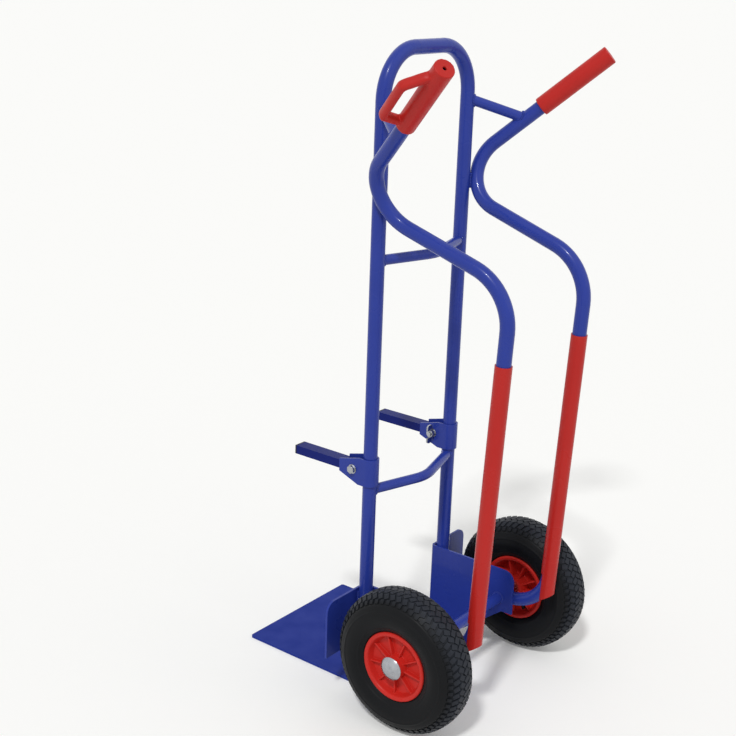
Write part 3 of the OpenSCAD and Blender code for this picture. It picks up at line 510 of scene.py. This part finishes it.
def weldLines():
    # every path as its points, and whether it closes
    w = weld
    up = Vector((0, 0, 1))
    lines = []
    for sign in sides.values():
        x = sign * w["upright"]
        for z in w["barZ"]:
            lines.append(copeLine(Vector((x, 0, z)), Vector((-x, w["bow"], 0)), w["barR"], up, w["tubeR"]))
        knee, handle = onSide(w["knee"], sign), onSide(w["handle"], sign)
        top = Vector((x, 0, w["braceZ"]))
        foot = knee.lerp(handle, w["braceShare"])
        lines.append(copeLine(top, foot - top, w["barR"], up, w["tubeR"]))
        lines.append(copeLine(foot, top - foot, w["barR"], handle - knee, w["tubeR"]))
        lines.append(ringLine(Vector((x, 0, w["toeZ"])), up, w["tubeR"] + w["toeProud"]))
        lines.append(ringLine(Vector((sign * w["plateIn"], axle[1], axle[2])), Vector((1, 0, 0)),
                              w["axleR"] + w["axleProud"]))
        # knee against the upright, both sides of the touching line
        for away in (-w["touchHalf"], w["touchHalf"]):
            spot = Vector((x + sign * w["touch"], w["touch"], w["touchZ"]))
            spot += Vector((-sign * w["diagonal"], w["diagonal"], 0)) * away
            lines.append(([spot + up * k * w["touchStep"] * mm for k in w["touchRun"]], False))
        # stitches of the bracket on the upright
        plate = sign * (w["plateX"] + w["seamProud"])
        for run in w["plateRuns"]:
            for y in (-w["seamHalf"], w["seamHalf"]):
                lines.append(([Vector((plate, y, 0)) + up * z * mm for z in run], False))
        for run in w["guardRuns"]:
            seam = Vector((x + sign * w["seamHalf"], w["guardY"] + w["seamProud"], 0))
            lines.append(([seam + up * z * mm for z in run], False))
        # foot tube of the rail on the side plate
        for z in w["footZ"]:
            lines.append(([Vector((plate, y * mm, z)) for y in w["footRun"]], False))
        # side plate and guard on the toe plate
        lines.append(([Vector((sign * w["plateIn"], y * mm, w["toeZ"])) for y in w["plateToeRun"]], False))
        front = w["guardY"] - w["sheetT"]
        lines.append(([Vector((sign * k * mm, front, w["toeZ"])) for k in w["guardToeRun"]], False))
    return lines


def buildWelds():
    bm = bmesh.new()
    for points, closed in weldLines():
        verts = [bm.verts.new(p) for p in points]
        for a, b in zip(verts, verts[1:]):
            bm.edges.new((a, b))
        if closed:
            bm.edges.new((verts[-1], verts[0]))
    mesh = bakeTree("frameWelds", weldTree(), {
        "Pitch": weld["pitch"], "Size": weld["size"], "Flat": weld["flat"], "Seed": weld["seed"],
        "Paint": mats["blue_paint"]}, closeMesh(bm, "weldPaths"))
    return keepPiece("frameWelds", mesh, "frame", "blue_paint")


welds = buildWelds()
print("welds built:", len(welds.data.polygons), "faces")


# grips: the CAD grip and a full straight barrel are melted into one moulded form, its bow more than the rest
grip = {"barrelR": 16.7 * mm, "boreR": 12.6 * mm, "length": 147 * mm, "steps": 64, "merge": 1e-6,
        "voxel": 1.1 * mm, "soften": 0.5, "passes": 14,
        "bowFrom": 17.5 * mm, "bowFade": 4 * mm, "bowRounds": 3, "bowPasses": 25, "swell": 0.6 * mm}


def meltBow(mesh, handle, axis):
    # the bow is softened more than the barrel, and swollen back to its thickness
    bm = bmesh.new()
    bm.from_mesh(mesh)
    bow = {}
    for v in bm.verts:
        off = v.co - handle
        clear = (off - axis * off.dot(axis)).length - grip["bowFrom"]
        if clear > 0:
            bow[v] = min(1.0, clear / grip["bowFade"])
    for _ in range(grip["bowRounds"]):
        for _ in range(grip["bowPasses"]):
            bmesh.ops.smooth_vert(bm, verts=list(bow), factor=grip["soften"], use_axis_x=True, use_axis_y=True,
                                  use_axis_z=True)
        bm.normal_update()
        for v, share in bow.items():
            v.co += v.normal * grip["swell"] * share
    bm.to_mesh(mesh)
    bm.free()


def gripForm(side, handle, axis):
    # a merged copy of the CAD grip, with the barrel laid over it
    bm = bmesh.new()
    bm.from_mesh(frame["nodes"][side + "_grip"].data)
    bmesh.ops.remove_doubles(bm, verts=bm.verts, dist=grip["merge"])
    bore, out, length = grip["boreR"], grip["barrelR"], grip["length"]
    barrel = latheMesh("barrel", [(bore, 0), (out, 0), (out, length), (bore, length)], grip["steps"])
    turned = axis.to_track_quat("Z", "Y").to_matrix().to_4x4()
    barrel.transform(Matrix.Translation(handle - axis * length) @ turned)
    bm.from_mesh(barrel)
    return closeMesh(bm, side + "GripForm")


def buildGrip(side, sign):
    knee, handle = onSide(weld["knee"], sign), onSide(weld["handle"], sign)
    axis = (handle - knee).normalized()
    host = bpy.data.objects.new(side + "GripForm", gripForm(side, handle, axis))
    bpy.context.scene.collection.objects.link(host)
    remesh = host.modifiers.new("mould", "REMESH")
    remesh.mode = "VOXEL"
    remesh.voxel_size = grip["voxel"]
    remesh.use_smooth_shade = True
    soft = host.modifiers.new("soften", "SMOOTH")
    soft.factor = grip["soften"]
    soft.iterations = grip["passes"]
    depsgraph = bpy.context.evaluated_depsgraph_get()
    done = bpy.data.meshes.new_from_object(host.evaluated_get(depsgraph))
    done.name = side + "MouldedGrip"
    bpy.data.objects.remove(host)
    meltBow(done, handle, axis)
    for face in done.polygons:
        face.use_smooth = True
    return keepPiece(side + "MouldedGrip", done, "frame", "grip_plastic", [side + "_grip"])


for side, sign in sides.items():
    piece = buildGrip(side, sign)
    print("grip built:", side, len(piece.data.polygons), "faces")


# studio: floor, light and camera; lamps turn by degrees, the lens is worked out from its focal length in pixels
studio = {"floor": "#F4F4F2", "floorSize": 120.0, "floorGlow": 0.12, "world": 0.5, "white": (1, 1, 1, 1),
          "lamps": {"key": {"strength": 1.5, "angle": 6.0, "turn": (38, 8, 100)},
                    "fill": {"strength": 0.35, "angle": 60.0, "turn": (50, 0, 190)}},
          "cameraAt": (1.8000, 1.2647, 1.2865), "azimuth": 127.28, "elevation": 17.86, "roll": 1.94,
          "sensor": 36.0, "focalPixels": 1287.77, "framePixels": 736, "clipEnd": 500.0}


def seenRays(tree):
    # 1 for rays that show the background: to the camera, off gloss and through glass
    path = addNode(tree, "ShaderNodeLightPath").outputs
    seen = addNode(tree, "ShaderNodeMath", {0: path["Is Camera Ray"], 1: path["Is Glossy Ray"]}, operation="MAXIMUM")
    clear = addNode(tree, "ShaderNodeMath", {0: seen.outputs[0], 1: path["Is Transmission Ray"]}, operation="MAXIMUM")
    return clear.outputs[0]


def buildFloor():
    half = studio["floorSize"] / 2
    mesh = bpy.data.meshes.new("floor")
    mesh.from_pydata([(-half, -half, 0), (half, -half, 0), (half, half, 0), (-half, half, 0)], [], [(0, 1, 2, 3)])
    floor = bpy.data.objects.new("floor", mesh)
    bpy.context.scene.collection.objects.link(floor)
    # matt pale floor that keeps the shadow, lifted a little where it is seen
    mat = bpy.data.materials.new("pale studio floor")
    mat.use_nodes = True
    tree = mat.node_tree
    tree.nodes.clear()
    color = paint(studio["floor"])
    matte = addNode(tree, "ShaderNodeBsdfDiffuse", {"Color": color})
    glow = addNode(tree, "ShaderNodeEmission", {"Color": color, "Strength": studio["floorGlow"]})
    both = addNode(tree, "ShaderNodeAddShader", {0: matte.outputs[0], 1: glow.outputs[0]})
    mixed = addNode(tree, "ShaderNodeMixShader", {0: seenRays(tree), 1: matte.outputs[0], 2: both.outputs[0]})
    addNode(tree, "ShaderNodeOutputMaterial", {"Surface": mixed.outputs[0]})
    mesh.materials.append(mat)


def buildLight():
    world = bpy.data.worlds.new("studio world")
    bpy.context.scene.world = world
    world.use_nodes = True
    tree = world.node_tree
    tree.nodes.clear()
    ambient = addNode(tree, "ShaderNodeBackground", {"Color": studio["white"], "Strength": studio["world"]})
    white = addNode(tree, "ShaderNodeBackground", {"Color": studio["white"], "Strength": 1.0})
    mixed = addNode(tree, "ShaderNodeMixShader", {0: seenRays(tree), 1: ambient.outputs[0], 2: white.outputs[0]})
    addNode(tree, "ShaderNodeOutputWorld", {"Surface": mixed.outputs[0]})
    for name, spec in studio["lamps"].items():
        data = bpy.data.lights.new(name, "SUN")
        data.energy = spec["strength"]
        data.angle = math.radians(spec["angle"])
        lamp = bpy.data.objects.new(name, data)
        lamp.rotation_euler = [math.radians(a) for a in spec["turn"]]
        bpy.context.scene.collection.objects.link(lamp)


def buildCamera():
    az, el, roll = (math.radians(studio[k]) for k in ("azimuth", "elevation", "roll"))
    back = Vector((math.sin(az) * math.cos(el), -math.cos(az) * math.cos(el), math.sin(el)))
    right = Vector((0, 0, 1)).cross(back).normalized()
    up = back.cross(right)
    tiltedRight = right * math.cos(roll) + up * math.sin(roll)
    tiltedUp = up * math.cos(roll) - right * math.sin(roll)
    turn = Matrix((tiltedRight, tiltedUp, back)).transposed().to_4x4()
    data = bpy.data.cameras.new("photoCamera")
    data.sensor_width = studio["sensor"]
    data.lens = studio["sensor"] * studio["focalPixels"] / studio["framePixels"]
    data.clip_end = studio["clipEnd"]
    camera = bpy.data.objects.new("photoCamera", data)
    camera.matrix_world = Matrix.Translation(studio["cameraAt"]) @ turn
    bpy.context.scene.collection.objects.link(camera)
    bpy.context.scene.camera = camera


buildFloor()
buildLight()
buildCamera()
bpy.context.scene.view_settings.view_transform = "Standard"
print("studio set")
